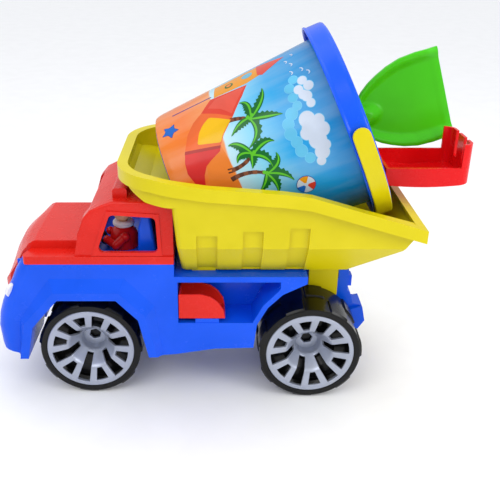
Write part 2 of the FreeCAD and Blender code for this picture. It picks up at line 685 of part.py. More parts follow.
def bucket_handle():
    """Half-ring strap over the collar, with a round pad and a pin at each end."""
    low, high = BAIL_ALONG - BAIL_W / 2, BAIL_ALONG + BAIL_W / 2
    outer = BAIL_R + BAIL_T
    ring = revolved([(BAIL_R, low), (outer, low), (outer, high), (BAIL_R, high)])
    strap = ring.common(box(0, 100, -100, 100, low - 1, high + 1))
    shell = revolved([(BAIL_R, low - 2), (outer, low - 2), (outer, high + 2), (BAIL_R, high + 2)])
    pads = shell.common(rod(BAIL_W / 2, (0, -100, BAIL_ALONG), (0, 100, BAIL_ALONG)))
    body = strap.fuse(pads)
    body.rotate(VEC(0, 0, 0), VEC(0, 0, 1), -BAIL_ROLL)
    return in_bucket(body.fuse(bail_pins(BAIL_PIN_R)).removeSplitter())


def spade_outline(step):
    widths = [(5.0, 15.5), (11.0, 22.0), (18.0, 27.5), (26.0, 32.0), (36.0, 36.5), (48.0, 39.8),
              (62.0, 40.6)]
    half = [(step, 9.0 - step)] + [(z, x - step) for z, x in widths] + [(SPADE_LENGTH + step, 39.5 - step)]
    return half + [(z, -x) for z, x in reversed(half)]


def blade_prism(step, y0, y1):
    """The blade's outline moved in by a step, between two depths."""
    points = [(SPADE_DOWN + x, y0, BUCKET_H + z) for z, x in spade_outline(step)]
    return Part.Face(wire(points)).extrude(VEC(0, y1 - y0, 0))


def spade():
    """Dished blade with a raised edge, a socket and a straight grip."""
    back, front = SPADE_Y + 4.5, SPADE_Y - 3.5
    grip_y = SPADE_Y + 1
    blade = blade_prism(0.0, front, back).cut(blade_prism(3.2, front - 1, back - 2.4))
    socket = rod(8.5, (SPADE_DOWN, grip_y, BUCKET_H - 12), (SPADE_DOWN, grip_y, BUCKET_H + 12))
    socket = socket.cut(box(-60, 100, back, back + 20, 0, 300))
    grip = rod(GRIP_R, (SPADE_DOWN, grip_y, SPADE_END), (SPADE_DOWN, grip_y, BUCKET_H - 10))
    knob = Part.makeSphere(GRIP_R, VEC(SPADE_DOWN, grip_y, SPADE_END))
    whole = union([blade, socket, grip, knob])
    whole.rotate(VEC(SPADE_DOWN, 0, BUCKET_H), Y_AXIS, SPADE_PITCH)
    return in_bucket(whole)


def rounded_block(step, top, radius):
    """The rake head's plan moved in by a step, with its two outer corners rounded."""
    block = box(RAKE_X[0] + step, RAKE_X[1] - step, RAKE_Y[0] + step, RAKE_Y[1] - step,
                RAKE_Z[0] + step, top)
    return round_edges(block, radius, lambda e: e.BoundBox.ZLength > 20 and e.CenterOfMass.x > RAKE_X[1] - 9)


def rake():
    """Level tray head with three upright tines, on a grip that lies along the bucket's wall."""
    head = rounded_block(0.0, TINE_TOP_Z, 9.0).cut(rounded_block(RAKE_T, TINE_TOP_Z + 1, 6.6))
    head = head.cut(box(RAKE_X[0] - 1, RAKE_X[1] - 9, RAKE_Y[0] - 1, RAKE_Y[1] + 1,
                        RAKE_Z[1], TINE_TOP_Z + 1))
    gaps = [box(RAKE_X[1] - 12, RAKE_X[1] + 1, y, y + 6.5, RAKE_Z[0] + 14, TINE_TOP_Z + 1)
            for y in (RAKE_Y[0] + 15.5, RAKE_Y[1] - 22)]
    grip = rod(GRIP_R, (RAKE_DOWN, RAKE_GRIP_Y, RAKE_END), (RAKE_DOWN, RAKE_GRIP_Y, BUCKET_H + 6))
    grip = grip.fuse(Part.makeSphere(GRIP_R, VEC(RAKE_DOWN, RAKE_GRIP_Y, RAKE_END)))
    whole = union([head.cut(union(gaps)), in_bucket(grip)])
    return whole.cut(box(RAKE_X[0] + RAKE_T, RAKE_X[0] + 40, RAKE_Y[0] + RAKE_T, RAKE_Y[1] - RAKE_T,
                         RAKE_Z[0] + RAKE_T, 230))


def main():
    os.makedirs("parts", exist_ok=True)
    parts = {"chassis": chassis(), "cab": cab(), "seat": seat(), "cab_screws": cab_screws(),
             "side_tray_left": side_tray(-1), "side_tray_right": side_tray(1),
             "bed": bed(), "bed_pivot_pin": bed_pivot_pin(),
             "bucket": bucket(), "bucket_label": bucket_label(), "bucket_handle": bucket_handle(),
             "spade": spade(), "rake": rake()}
    parts.update(driver())
    parts.update(steering())
    parts.update(wheels())
    for name, shape in sorted(parts.items()):
        shape.translate(VEC(ORIGIN_SHIFT_X, 0, 0))
        size = shape.BoundBox
        print(f"{name:20s} valid={shape.isValid()} solids={len(shape.Solids)} volume={shape.Volume:12.2f} "
              f"x {size.XMin:7.1f} {size.XMax:7.1f} y {size.YMin:6.1f} {size.YMax:6.1f} "
              f"z {size.ZMin:6.1f} {size.ZMax:6.1f}")
        shape.exportStep(f"parts/{name}.step")


main()
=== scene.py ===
import json
import math

import bmesh
import bpy
from mathutils import Matrix, Vector

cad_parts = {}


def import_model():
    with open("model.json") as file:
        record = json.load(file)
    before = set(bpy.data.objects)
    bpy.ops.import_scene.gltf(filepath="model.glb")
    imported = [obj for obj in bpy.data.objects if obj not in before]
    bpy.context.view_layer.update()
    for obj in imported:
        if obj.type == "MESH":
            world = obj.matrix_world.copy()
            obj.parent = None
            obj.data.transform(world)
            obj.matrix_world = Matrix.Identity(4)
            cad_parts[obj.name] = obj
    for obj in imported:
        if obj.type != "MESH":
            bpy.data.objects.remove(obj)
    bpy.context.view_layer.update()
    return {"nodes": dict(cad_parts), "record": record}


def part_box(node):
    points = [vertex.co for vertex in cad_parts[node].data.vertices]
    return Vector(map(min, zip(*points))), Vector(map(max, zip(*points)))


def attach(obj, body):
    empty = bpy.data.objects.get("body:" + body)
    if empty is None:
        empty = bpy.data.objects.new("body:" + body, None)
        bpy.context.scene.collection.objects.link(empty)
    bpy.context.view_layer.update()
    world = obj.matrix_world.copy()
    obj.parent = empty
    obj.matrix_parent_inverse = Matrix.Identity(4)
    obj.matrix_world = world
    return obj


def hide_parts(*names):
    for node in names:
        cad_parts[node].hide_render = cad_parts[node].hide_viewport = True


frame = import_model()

# Lengths below are millimetres in the CAD drawing's frame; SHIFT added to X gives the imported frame.
MM = 0.001
FRONT_AXLE_X = -128.0
REAR_AXLE_X = 62.7
AXLE_Z = 45.0
NODES = frame["nodes"]
axle_low, axle_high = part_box("front_axle")
SHIFT = (axle_low.x + axle_high.x) / 2 / MM - FRONT_AXLE_X
BODY_OF = {n: b for b, ns in frame["record"]["behaviour"]["bodies"].items() for n in ns}
SLOT_OF = {s["node"]: s["material_slot"] for s in frame["record"]["subparts"]}


# ---------------------------------------------------------------- materials

def linear(rgb):
    """0-255 display colour to linear RGBA."""
    out = []
    for c in rgb:
        c /= 255.0
        out.append(c / 12.92 if c <= 0.04045 else ((c + 0.055) / 1.055) ** 2.4)
    return (*out, 1.0)


def node_maker(owner):
    """A function that adds a node to the owner's tree, with its inputs set or linked."""
    tree = owner.node_tree

    def make(kind, inputs=None, **props):
        node = tree.nodes.new(kind)
        for key, value in props.items():
            setattr(node, key, value)
        for key, value in (inputs or {}).items():
            if isinstance(value, bpy.types.NodeSocket):
                tree.links.new(value, node.inputs[key])
            else:
                node.inputs[key].default_value = value
        return node

    return make


def new_material(name):
    """A material with its shader node and its node maker."""
    material = bpy.data.materials.new(name)
    material.use_nodes = True
    return material, material.node_tree.nodes["Principled BSDF"], node_maker(material)


def moulded(material, shader, make, base, rough, grain, scuff):
    """Surface of a moulding over any base colour: a fine grain, slow sink waves and faint scuffs."""
    links = material.node_tree.links
    place = make("ShaderNodeTexCoord").outputs["Object"]
    links.new(base, shader.inputs["Base Color"])
    fine = make("ShaderNodeTexNoise", {"Vector": place, "Scale": 900.0, "Detail": 2.0})
    worn = make("ShaderNodeTexNoise", {"Vector": place, "Scale": 60.0, "Detail": 8.0, "Roughness": 0.75})
    scuffed = make("ShaderNodeMapRange", {"Value": worn.outputs["Fac"], "From Min": 0.5, "From Max": 0.75,
                                          "To Min": rough, "To Max": rough + scuff})
    links.new(scuffed.outputs[0], shader.inputs["Roughness"])
    waves = make("ShaderNodeTexNoise", {"Vector": place, "Scale": 16.0, "Detail": 1.0})
    bump = make("ShaderNodeBump", {"Height": fine.outputs["Fac"], "Strength": grain, "Distance": 0.0002})
    wavy = make("ShaderNodeBump", {"Height": waves.outputs["Fac"], "Strength": 0.06, "Distance": 0.004,
                                   "Normal": bump.outputs[0]})
    links.new(wavy.outputs[0], shader.inputs["Normal"])
    shader.inputs["IOR"].default_value = 1.5
    shader.inputs["Specular IOR Level"].default_value = 0.24


def plastic(name, rgb, rough=0.30, vary=0.05, grain=0.10, scuff=0.08):
    """Moulded plastic with a slow drift of its colour."""
    material, shader, make = new_material(name)
    base = linear(rgb)
    dark = tuple(c * (1 - vary) for c in base[:3]) + (1.0,)
    pale = tuple(min(1.0, c * (1 + vary) + 0.004) for c in base[:3]) + (1.0,)
    place = make("ShaderNodeTexCoord").outputs["Object"]
    drift = make("ShaderNodeTexNoise", {"Vector": place, "Scale": 22.0, "Detail": 4.0, "Distortion": 0.6})
    factor = make("ShaderNodeMapRange", {"Value": drift.outputs["Fac"], "From Min": 0.35, "From Max": 0.65})
    colour = make("ShaderNodeMix", {"Factor": factor.outputs[0], 6: dark, 7: pale}, data_type="RGBA")
    moulded(material, shader, make, colour.outputs[2], rough, grain, scuff)
    return material


def printed_sleeve():
    """Sand below, sky above, with a pale haze along the horizon; heights run along the bucket."""
    material, shader, make = new_material("print_background")
    place = make("ShaderNodeTexCoord").outputs["Object"]
    height = make("ShaderNodeSeparateXYZ", {"Vector": place}).outputs["Z"]
    mottle = make("ShaderNodeTexNoise", {"Vector": place, "Scale": 45.0, "Detail": 6.0})
    edge = make("ShaderNodeMath", {0: mottle.outputs["Fac"], 1: 0.004, 2: height}, operation="MULTIPLY_ADD")
    ramp = make("ShaderNodeValToRGB")
    spread = make("ShaderNodeMapRange", {"Value": edge.outputs[0], "From Max": 0.16})
    material.node_tree.links.new(spread.outputs[0], ramp.inputs["Fac"])
    stops = [(0.0, (222, 122, 40)), (0.17, (222, 112, 40)), (0.327, (220, 130, 56)), (0.333, (176, 212, 226)),
             (0.46, (116, 192, 222)), (0.62, (40, 152, 210)), (0.80, (14, 134, 198)), (1.0, (4, 116, 184))]
    elements = ramp.color_ramp.elements
    while len(elements) < len(stops):
        elements.new(0.5)
    for element, (at, rgb) in zip(elements, stops):
        element.position = at
        element.color = linear(rgb)
    streaks = make("ShaderNodeMapping", {"Vector": place, "Scale": (70.0, 70.0, 9.0)})
    rays = make("ShaderNodeTexNoise", {"Vector": streaks.outputs[0], "Scale": 1.0, "Detail": 3.0})
    lift = make("ShaderNodeMapRange", {"Value": rays.outputs["Fac"], "From Min": 0.4, "From Max": 0.75,
                                       "To Max": 0.14})
    shaded = make("ShaderNodeMix",
                  {"Factor": lift.outputs[0], 6: ramp.outputs["Color"], 7: linear((236, 238, 226))},
                  data_type="RGBA")
    moulded(material, shader, make, shaded.outputs[2], 0.16, 0.04, 0.05)
    return material


MATS = {
    "blue_plastic": plastic("blue_moulded", (0, 82, 228), 0.24),
    "red_plastic": plastic("red_moulded", (214, 30, 18), 0.26),
    "yellow_plastic": plastic("yellow_moulded", (212, 196, 2), 0.32, vary=0.03),
    "grey_plastic": plastic("lilac_grey_moulded", (166, 172, 188), 0.34),
    "tyre_plastic": plastic("black_moulded", (7, 7, 8), 0.22, vary=0.2),
    "green_plastic": plastic("green_moulded", (66, 196, 0), 0.32),
    "dark_red_plastic": plastic("dark_red_moulded", (224, 8, 14), 0.26),
    "printed_film": printed_sleeve(),
    "white_plastic": plastic("white_moulded", (228, 228, 236), 0.35),
    "driver_red": plastic("driver_red_moulded", (200, 14, 18), 0.22),
    "skin": plastic("skin_moulded", (232, 178, 140), 0.45),
    "black_plastic": plastic("charcoal_moulded", (26, 26, 30), 0.4, vary=0.2),
    "steel": plastic("drawn_steel", (176, 178, 184), 0.3),
}
for shiny, metal in (("steel", 1.0), ("grey_plastic", 0.55)):
    MATS[shiny].node_tree.nodes["Principled BSDF"].inputs["Metallic"].default_value = metal


# ---------------------------------------------------------------- mesh helpers

def world(place=None):
    """A placement in the drawing frame, in millimetres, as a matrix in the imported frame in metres."""
    out = place.copy() if place else Matrix.Identity(4)
    out.translation = (out.translation + Vector((SHIFT, 0, 0))) * MM
    return out


def solid_mesh(name, verts, faces):
    """Mesh from millimetre points, with its faces turned outwards."""
    bm = bmesh.new()
    points = [bm.verts.new(Vector(v) * MM) for v in verts]
    for face in faces:
        bm.faces.new([points[i] for i in face])
    bmesh.ops.recalc_face_normals(bm, faces=bm.faces)
    mesh = bpy.data.meshes.new(name)
    bm.to_mesh(mesh)
    bm.free()
    return mesh


def finish_mesh(obj, angle=38.0):
    """Applies the modifiers, then smooths everything flatter than the angle."""
    graph = bpy.context.evaluated_depsgraph_get()
    mesh = bpy.data.meshes.new_from_object(obj.evaluated_get(graph))
    obj.modifiers.clear()
    obj.data = mesh
    mesh.shade_smooth()
    mesh.set_sharp_from_angle(angle=math.radians(angle))
    weigh = obj.modifiers.new("weighted", "WEIGHTED_NORMAL")
    weigh.keep_sharp = True
    weigh.weight = 60
    return obj


def add_piece(name, mesh, node, covers=(), place=None, materials=None):
    """A visual piece that rides and is coloured like a CAD node."""
    obj = bpy.data.objects.new(name, mesh)
    bpy.context.scene.collection.objects.link(obj)
    obj.matrix_world = place or Matrix.Identity(4)
    bpy.context.view_layer.update()
    if not mesh.materials:
        for material in materials or [MATS[SLOT_OF[node]]]:
            mesh.materials.append(material)
    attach(obj, BODY_OF[node])
    if covers:
        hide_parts(*covers)
    return obj


def bevelled(obj, width, segments=3, limit=24.0):
    """Rounds the edges that are sharper than the limit in degrees."""
    bevel = obj.modifiers.new("round", "BEVEL")
    bevel.width = width * MM
    bevel.segments = segments
    bevel.limit_method = "ANGLE"
    bevel.angle_limit = math.radians(limit)
    bevel.miter_outer = "MITER_ARC"
    return obj


def refined(node, width=0.9, segments=3, limit=24.0, warp=None, cuts=(), angle=38.0):
    """A copy of a CAD node with rounded edges; cuts are (point, normal) planes that let a warp bend it."""
    bm = bmesh.new()
    bm.from_mesh(NODES[node].data)
    bmesh.ops.remove_doubles(bm, verts=bm.verts, dist=2e-6)
    bmesh.ops.dissolve_limit(bm, angle_limit=math.radians(0.6), verts=bm.verts, edges=bm.edges)
    for point, normal in cuts:
        bmesh.ops.bisect_plane(bm, geom=bm.verts[:] + bm.edges[:] + bm.faces[:], plane_no=normal,
                               plane_co=(Vector(point) + Vector((SHIFT, 0, 0))) * MM)
    if warp:
        for v in bm.verts:
            x, y, z = v.co / MM - Vector((SHIFT, 0, 0))
            v.co = (Vector(warp(x, y, z)) + Vector((SHIFT, 0, 0))) * MM
    mesh = bpy.data.meshes.new(node + "_skin")
    bm.to_mesh(mesh)
    bm.free()
    mesh.materials.clear()
    return finish_mesh(bevelled(add_piece(node + "_skin", mesh, node, [node]), width, segments, limit), angle)


def lathe(profile, steps=256, radius=None):
    """Closed (radius, height) outline turned about Z; radius(r, h, angle) may vary it."""
    verts, rows = [], []
    for r, h in profile:
        if r < 1e-6:
            rows.append([len(verts)] * steps)
            verts.append((0, 0, h))
            continue
        rows.append(list(range(len(verts), len(verts) + steps)))
        for i in range(steps):
            a = 2 * math.pi * i / steps
            q = radius(r, h, a) if radius else r
            verts.append((q * math.cos(a), q * math.sin(a), h))
    faces = []
    for low, high in zip(rows, rows[1:] + rows[:1]):
        for i in range(steps):
            j = (i + 1) % steps
            face = list(dict.fromkeys([low[i], low[j], high[j], high[i]]))
            if len(face) > 2:
                faces.append(face)
    return verts, faces


def loft(loops):
    """Closed skin through loops with the same number of points, with flat ends."""
    count = len(loops[0])
    verts = [p for loop in loops for p in loop]
    faces = [list(range(count)), list(range(len(verts) - count, len(verts)))]
    for k in range(len(loops) - 1):
        for i in range(count):
            j = (i + 1) % count
            faces.append([k * count + i, k * count + j, (k + 1) * count + j, (k + 1) * count + i])
    return verts, faces


def rounded(outline, radius, steps=4):
    """Closed outline with its corners curved off."""
    out = []
    for i, corner in enumerate(outline):
        before, p, after = Vector(outline[i - 1]), Vector(corner), Vector(outline[(i + 1) % len(outline)])
        start = p + (before - p).normalized() * min(radius, (before - p).length * 0.45)
        end = p + (after - p).normalized() * min(radius, (after - p).length * 0.45)
        for k in range(steps + 1):
            t = k / steps
            out.append(tuple(start.lerp(p, t).lerp(p.lerp(end, t), t)))
    return out


def smooth(t):
    """Eases from 0 to 1 as t does."""
    t = max(0.0, min(1.0, t))
    return t * t * (3 - 2 * t)


for name, node in NODES.items():
    node.data.materials.clear()
    node.data.materials.append(MATS[SLOT_OF[name]])


# ---------------------------------------------------------------- wheels

# End of the truck, axle's X, how far out the wheels' faces are, and the turn of the spokes in degrees
AXLES = (("front", FRONT_AXLE_X, 54.0, 15.0), ("rear", REAR_AXLE_X, 61.0, 10.0))
AXLE_R = 2.5
BAR_INSET = 32.8

# The rim's face: (radius, height) rings, six long slots with a short window between each two
SPOKES = 6
SECTOR = math.pi / SPOKES
SLOT_CUT = ((12.6, 2.7), (34.0, 5.5))
WINDOW_CUT = ((21.5, 2.2), (32.5, 5.5))
FACE_RINGS = [(38.0, -6.0), (38.0, -0.7), (37.4, 0.0), (36.0, 0.0), (34.0, 0.0), (32.5, -0.25),
              (30.0, -0.9), (27.0, -1.7), (24.0, -2.5), (21.5, -3.2), (20.0, -4.0), (18.5, -6.0),
              (16.5, -9.2), (14.5, -12.3), (12.6, -15.2), (11.2, -17.0), (10.5, -18.2), (10.2, -20.0),
              (10.2, -26.0), (5.6, -26.2), (5.2, -26.8), (5.2, -29.0)]
HEX_RINGS = 3
HEX = math.pi / 3
WALL_FOOT = -16
RIM_WALL = 2.2


def half_angle(cut, r):
    """Half the angle a cut takes at a radius, held level beyond its ends."""
    (r0, w0), (r1, w1) = cut
    held = min(max(r, r0), r1)
    return math.asin((w0 + (w1 - w0) * (held - r0) / (r1 - r0)) / held)


def rim_columns(r):
    """Angles round one ring; the cuts' edges fall on fixed columns."""
    slot, window = half_angle(SLOT_CUT, r), half_angle(WINDOW_CUT, r)
    half = [0, slot / 2, slot] + [slot + (SECTOR - window - slot) * k / 6 for k in range(1, 6)]
    half += [SECTOR - window, SECTOR - window / 2]
    sector = half + [2 * SECTOR - a for a in [SECTOR] + half[:0:-1]]
    return [a + 2 * SECTOR * i for i in range(SPOKES) for a in sector]


def rim_mesh():
    """The rim's front skin, with the slots and windows left open and a hexagonal socket in the middle."""
    rows, verts = [], []
    for k, (r, h) in enumerate(FACE_RINGS):
        row = []
        for a in rim_columns(r):
            corner = (a % HEX) - HEX / 2
            q = r * math.cos(HEX / 2) / math.cos(corner) if k >= len(FACE_RINGS) - HEX_RINGS else r
            row.append(len(verts))
            verts.append((q * math.cos(a), q * math.sin(a), h))
        rows.append(row)
    faces = []
    columns = len(rows[0]) // SPOKES
    for k in range(len(rows) - 1):
        middle = (FACE_RINGS[k][0] + FACE_RINGS[k + 1][0]) / 2
        flat = FACE_RINGS[k][1] > WALL_FOOT
        for i in range(len(rows[0])):
            at = i % columns
            in_slot = flat and SLOT_CUT[0][0] < middle < SLOT_CUT[1][0] and (at < 2 or at >= columns - 2)
            in_window = flat and WINDOW_CUT[0][0] < middle < WINDOW_CUT[1][0] \
                and abs(at + 0.5 - columns / 2) < 2
            if not in_slot and not in_window:
                j = (i + 1) % len(rows[0])
                faces.append([rows[k][i], rows[k][j], rows[k + 1][j], rows[k + 1][i]])
    return solid_mesh("rim", verts, faces)


# Two rows of tread blocks, staggered by half a step
LUGS = 7
LUG_STEP = 360.0 / LUGS
LUG_PHASE = -96.0
LUG_HALF = 11.3
LUG_PROUD = 1.5
ROW_EDGE = -22.5
TREAD_R = 43.5
TYRE_STEPS = 720
TREAD_ROWS = [-0.9, -1.9, -3.0, -8.0, -14.0, -19.0, -20.3, -21.3, -22.5, -23.7, -24.7, -26.0, -31.0, -37.0,
              -41.5, -43.0, -44.0]
TYRE_SIDES = ([(37.95, -1.2), (38.3, -0.35), (39.0, 0.0), (42.0, 0.0), (42.9, -0.2)],
              [(42.6, -44.8), (42.0, -45.0), (36.5, -45.0), (36.0, -44.5), (36.0, -14.0), (24.0, -15.0),
               (15.5, -23.5), (10.0, -31.0), (8.5, -33.0), (8.5, -44.5), (8.0, -45.0), (3.4, -45.0),
               (2.9, -44.6), (2.9, -33.0), (0.0, -32.5), (0.0, -30.4), (9.0, -30.0), (14.5, -21.0),
               (23.0, -12.3), (36.0, -11.0), (37.95, -9.0)])


def lug_height(h, angle):
    """How far the tread stands up, from 0 to 1, at a height across the tyre."""
    row = 0 if h > ROW_EDGE else 1
    across = smooth((h + 21.6) / 1.0) * smooth((-0.6 - h) / 0.9) if row == 0 else \
        smooth((-23.4 - h) / 1.0) * smooth((h + 44.4) / 0.9)
    turn = (math.degrees(angle) - LUG_PHASE - row * LUG_STEP / 2 + LUG_STEP / 2) % LUG_STEP - LUG_STEP / 2
    return across * smooth((LUG_HALF - abs(turn)) / 0.9)


def tyre_mesh():
    """A tyre with the thin disc that closes the wheel behind its rim."""
    def tread(r, h, angle):
        return r + LUG_PROUD * lug_height(h, angle) if r == TREAD_R else r

    profile = TYRE_SIDES[0] + [(TREAD_R, h) for h in TREAD_ROWS] + TYRE_SIDES[1]
    return solid_mesh("tyre", *lathe(profile, TYRE_STEPS, tread))


def wheel_place(x, face_y):
    """Wheel parts face +Z at height 0, and are turned to face outwards."""
    turn = Matrix.Rotation(math.pi if face_y > 0 else 0, 4, "Z")
    return world(Matrix.Translation((x, face_y, AXLE_Z)) @ turn @ Matrix.Rotation(math.pi / 2, 4, "X"))


def rim_skin(node, face, place):
    """One rim: its face thickened to a wall, with soft edges."""
    piece = add_piece(node + "_skin", face, node, [node], place)
    wall = piece.modifiers.new("wall", "SOLIDIFY")
    wall.thickness = RIM_WALL * MM
    wall.offset = -1.0
    finish_mesh(bevelled(piece, 0.35, 2, 30))


def axle_bar(node, x, reach):
    """A steel rod with chamfered ends, across the truck."""
    chamfer = 0.6
    bar = [(0, -reach), (AXLE_R - chamfer, -reach), (AXLE_R, chamfer - reach), (AXLE_R, reach - chamfer),
           (AXLE_R - chamfer, reach), (0, reach)]
    add_piece(node + "_bar", solid_mesh("axle", *lathe(bar, 48)), node, [node],
              world(Matrix.Translation((x, 0, AXLE_Z)) @ Matrix.Rotation(math.pi / 2, 4, "X")))


def wheels():
    """Rims, tyres and axle bars of both axles."""
    tyre = tyre_mesh()
    for end, x, face_y, phase in AXLES:
        face = rim_mesh()
        face.transform(Matrix.Rotation(math.radians(phase), 4, "Z"))
        for side, sign in (("left", -1), ("right", 1)):
            place = wheel_place(x, sign * face_y)
            rim_skin(f"{end}_rim_{side}", face, place)
            node = f"{end}_tyre_{side}"
            finish_mesh(add_piece(node + "_skin", tyre, node, [node], place), 30)
        axle_bar(f"{end}_axle", x, face_y - BAR_INSET)


# ---------------------------------------------------------------- bucket and its print

TILT = math.radians(90 - 23.3)
BUCKET_PLACE = Matrix.Translation((-45.0, 0.0, 178.1)) @ Matrix.Rotation(TILT, 4, "Y")
BUCKET_H = 154.6
BASE_R = 61.4
MOUTH_R = 71.3
COLLAR_W = 16.5
WALL_T = 2
BUCKET_STEPS = 288


def wall_r(height):
    """Outer radius of the bucket's wall at a height above its base."""
    return BASE_R + (MOUTH_R - BASE_R) * height / BUCKET_H


def bucket():
    """The bucket with its foot ring and hanging collar, and the plain sleeve under the print."""
    inside = [(wall_r(h) - WALL_T, h) for h in (150, 120, 90, 60, 30, 8)]
    low = BUCKET_H - COLLAR_W
    profile = [(0, 1.8), (50.5, 1.8), (52.5, 0.4), (54, 0), (58.5, 0), (60.6, 0.9), (61.5, 3)]
    profile += [(wall_r(h), h) for h in (6, 60, 120, 150)]
    profile += [(wall_r(151.5), 151.5), (73, 152.4), (77.5, 152.4), (78.6, 151.6), (79.0, 150),
                (79.2, low + 2), (79.6, low + 0.4), (80.2, low), (80.9, low + 0.1), (81.1, low + 0.7),
                (81.0, low + 1.5), (80.4, low + 2.2), (80.0, low + 3.2), (80.0, 150.5), (79.8, 152.6),
                (78.9, 154.0), (77.4, 154.6), (73, 154.6), (70.8, 154.4), (69.6, 153.6), (69.2, 152.4)]
    profile += inside + [(57.5, 4.2), (55, 3.6), (0, 3.6)]
    finish_mesh(add_piece("bucket_skin", solid_mesh("bucket", *lathe(profile, BUCKET_STEPS)), "bucket",
                          ["bucket"], world(BUCKET_PLACE)), 40)
    sleeve = [(wall_r(h) + 0.02, h) for h in (151.0, 100.0, 50.0, 6.0)] + [(61.4, 3.0), (60.7, 1.0)]
    sleeve += [(61.2, 1.1), (61.8, 3.0)] + [(wall_r(h) + 0.5, h) for h in (6.2, 50.0, 100.0, 150.6)]
    finish_mesh(add_piece("label_sleeve", solid_mesh("sleeve", *lathe(sleeve, BUCKET_STEPS)), "bucket_label",
                          ["bucket_label"], world(BUCKET_PLACE)))


BAIL_ALONG = 146.5
BAIL_ROLL = 6.0
BAIL_HALF_W = 6.75
BAIL_INNER = 81.95
BAIL_OUTER = 84.1


def strap_section(w):
    """Section of the strap at half width w, as (across, radius), with round outer edges."""
    lip = min(0.9, w * 0.4)
    edge = [(-w, BAIL_INNER), (-w, BAIL_OUTER - lip)]
    edge += [(-w + lip * (1 - math.cos(k * math.pi / 8)), BAIL_OUTER - lip * (1 - math.sin(k * math.pi / 8)))
             for k in range(1, 5)]
    face = [(-w * 0.35, BAIL_OUTER - 0.18), (w * 0.35, BAIL_OUTER - 0.18)] if w > 3 else \
        [(-w * 0.3, BAIL_OUTER), (w * 0.3, BAIL_OUTER)]
    return edge + face + [(-a, r) for a, r in reversed(edge)]


def bail():
    """Half-ring strap with rounded ends, each with its pin."""
    loops = []
    ends = math.degrees(BAIL_HALF_W / 83.0)
    stations = [-90 - ends * math.cos(k * math.pi / 24) for k in range(12)]
    stations += [-90 + 180 * k / 120 for k in range(121)]
    stations += [90 + ends * math.sin(k * math.pi / 24) for k in range(1, 13)]
    for deg in stations:
        past = max(0.0, abs(deg) - 90) / ends
        turn = math.radians(deg - BAIL_ROLL)
        section = strap_section(BAIL_HALF_W * math.sqrt(max(0.0015, 1 - past * past)))
        loops.append([(r * math.cos(turn), r * math.sin(turn), BAIL_ALONG + a) for a, r in section])
    strap = solid_mesh("bail", *loft(loops))
    finish_mesh(add_piece("bail_strap", strap, "bucket_handle", ["bucket_handle"], world(BUCKET_PLACE)), 45)
    for k, side in enumerate((-1, 1)):
        pin = [(0, -6.5), (2.6, -6.5), (3.0, -6.0), (3.0, 0.0), (0, 0.0)]
        spot = Matrix.Rotation(math.radians(side * 90 - BAIL_ROLL), 4, "Z") \
            @ Matrix.Translation((82.4, 0, BAIL_ALONG)) @ Matrix.Rotation(math.pi / 2, 4, "Y")
        add_piece(f"bail_pin_{k}", solid_mesh("pin", *lathe(pin, 32)), "bucket_handle", (),
                  world(BUCKET_PLACE @ spot))


# Flat drawings, wrapped on the label: height along the bucket, and distance round it from PRINT_MID.
PRINT_R = 66.0
PRINT_MID = math.radians(-110.0)
PRINT_STRIP = 3.0
FILM_FOOT = 0.35


def disc(h, v, size, count=20):
    """Outline of a round spot."""
    return [(h + size * math.cos(2 * math.pi * k / count), v + size * math.sin(2 * math.pi * k / count))
            for k in range(count)]


def bow(start, middle, end, count=9):
    """Points on the curve that leaves start towards middle and arrives at end."""
    a, b, c = Vector(start), Vector(middle), Vector(end)
    return [a.lerp(b, t).lerp(b.lerp(c, t), t) for t in (k / (count - 1) for k in range(count))]


def ribbon(line, widths):
    """Outline of a line with a half width on each side: widths gives (left, right) per point."""
    left, right = [], []
    for k, p in enumerate(line):
        along = (line[min(k + 1, len(line) - 1)] - line[max(k - 1, 0)]).normalized()
        normal = Vector((-along.y, along.x))
        left.append(tuple(p + normal * widths[k][0]))
        right.append(tuple(p - normal * widths[k][1]))
    return left + right[::-1]


def frond(start, middle, end, width):
    """A palm leaf with a saw-toothed lower side, and its paler rib."""
    line = bow(start, middle, end, 15)
    swell = [math.sin(math.pi * min(1, 0.12 + 0.88 * k / 14) ** 0.8) * width for k in range(15)]
    leaf = ribbon(line, [(w * 0.55 + 0.15, w * (0.9 if k % 2 else 0.55) + 0.15) for k, w in enumerate(swell)])
    rib = ribbon(line, [(w * 0.34 + 0.05, -w * 0.02 + 0.05) for w in swell])
    return leaf, rib


def decal(bm, outline, layer, material, middle):
    """Lays one outline on the label as a thin raised film."""
    flat = bmesh.new()
    points = [flat.verts.new((h, v, 0)) for h, v in outline]
    edges = [flat.edges.new((points[k - 1], points[k])) for k in range(len(points))]
    bmesh.ops.triangle_fill(flat, use_beauty=True, edges=edges)
    low, high = min(p.co.y for p in points), max(p.co.y for p in points)
    cut = math.floor(low / PRINT_STRIP) * PRINT_STRIP
    while cut < high:
        bmesh.ops.bisect_plane(flat, geom=flat.verts[:] + flat.edges[:] + flat.faces[:],
                               plane_co=(0, cut, 0), plane_no=(0, 1, 0))
        cut += PRINT_STRIP
    # The last term spreads the films of one layer over seven levels, so that few share a surface.
    lift = 0.52 + 0.05 * layer + 0.006 * (len(bm.faces) % 7)
    tops, feet = {}, {}
    for p in flat.verts:
        turn = middle + p.co.y / PRINT_R
        for table, r in ((tops, wall_r(p.co.x) + lift), (feet, wall_r(p.co.x) + FILM_FOOT)):
            table[p] = bm.verts.new(Vector((r * math.cos(turn), r * math.sin(turn), p.co.x)) * MM)
    for face in flat.faces:
        for table in (tops, feet):
            bm.faces.new([table[p] for p in face.verts]).material_index = material
    for edge in flat.edges:
        if len(edge.link_faces) == 1:
            a, b = edge.verts
            bm.faces.new([tops[a], tops[b], feet[b], feet[a]]).material_index = material
    flat.free()


